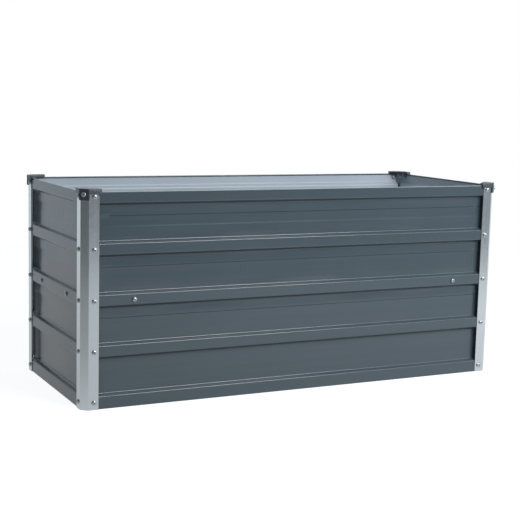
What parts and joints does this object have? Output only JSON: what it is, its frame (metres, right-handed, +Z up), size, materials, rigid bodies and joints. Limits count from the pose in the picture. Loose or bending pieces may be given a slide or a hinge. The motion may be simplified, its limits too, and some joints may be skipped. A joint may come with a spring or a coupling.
{
  "type": "raised garden bed",
  "caption": "Open-bottomed rectangular raised garden bed of corrugated painted steel walls, bevelled galvanised corner posts and moulded corner caps.",
  "frame": {"origin": "middle of the bed's footprint, on the ground", "axes": "+X along the long walls, +Y across the bed from the front long wall to the back one, +Z up"},
  "size_m": [1.0074, 0.4074, 0.4457],
  "materials": {
    "painted_panel": "satin slate-grey coil coating outside, pale blue-grey coat inside",
    "galvanised_sheet": "hot-dip galvanised sheet with a fine spangle, soft gloss",
    "galvanised_strap": "galvanised strip, dull",
    "zinc_fastener": "bright zinc plate",
    "cap_plastic": "moulded dark grey plastic, satin with a fine grain"
  },
  "bodies": {
    "root": {"front_panel": "painted_panel", "right_panel": "painted_panel", "back_panel": "painted_panel", "left_panel": "painted_panel", "front_left_post": "galvanised_sheet", "front_left_cap": "cap_plastic", "front_left_brace": "galvanised_strap", "front_left_cap_screw": "zinc_fastener", "front_left_bolt_front_1": "zinc_fastener", "front_left_bolt_left_1": "zinc_fastener", "front_left_bolt_front_2": "zinc_fastener", "front_left_bolt_left_2": "zinc_fastener", "front_left_bolt_front_3": "zinc_fastener", "front_left_bolt_left_3": "zinc_fastener", "front_left_bolt_front_4": "zinc_fastener", "front_left_bolt_left_4": "zinc_fastener", "front_left_bolt_front_5": "zinc_fastener", "front_left_bolt_left_5": "zinc_fastener", "front_right_post": "galvanised_sheet", "front_right_cap": "cap_plastic", "front_right_brace": "galvanised_strap", "front_right_cap_screw": "zinc_fastener", "front_right_bolt_right_1": "zinc_fastener", "front_right_bolt_front_1": "zinc_fastener", "front_right_bolt_right_2": "zinc_fastener", "front_right_bolt_front_2": "zinc_fastener", "front_right_bolt_right_3": "zinc_fastener", "front_right_bolt_front_3": "zinc_fastener", "front_right_bolt_right_4": "zinc_fastener", "front_right_bolt_front_4": "zinc_fastener", "front_right_bolt_right_5": "zinc_fastener", "front_right_bolt_front_5": "zinc_fastener", "back_right_post": "galvanised_sheet", "back_right_cap": "cap_plastic", "back_right_brace": "galvanised_strap", "back_right_cap_screw": "zinc_fastener", "back_right_bolt_back_1": "zinc_fastener", "back_right_bolt_right_1": "zinc_fastener", "back_right_bolt_back_2": "zinc_fastener", "back_right_bolt_right_2": "zinc_fastener", "back_right_bolt_back_3": "zinc_fastener", "back_right_bolt_right_3": "zinc_fastener", "back_right_bolt_back_4": "zinc_fastener", "back_right_bolt_right_4": "zinc_fastener", "back_right_bolt_back_5": "zinc_fastener", "back_right_bolt_right_5": "zinc_fastener", "back_left_post": "galvanised_sheet", "back_left_cap": "cap_plastic", "back_left_brace": "galvanised_strap", "back_left_cap_screw": "zinc_fastener", "back_left_bolt_left_1": "zinc_fastener", "back_left_bolt_back_1": "zinc_fastener", "back_left_bolt_left_2": "zinc_fastener", "back_left_bolt_back_2": "zinc_fastener", "back_left_bolt_left_3": "zinc_fastener", "back_left_bolt_back_3": "zinc_fastener", "back_left_bolt_left_4": "zinc_fastener", "back_left_bolt_back_4": "zinc_fastener", "back_left_bolt_left_5": "zinc_fastener", "back_left_bolt_back_5": "zinc_fastener"}
  },
  "joints": []
}
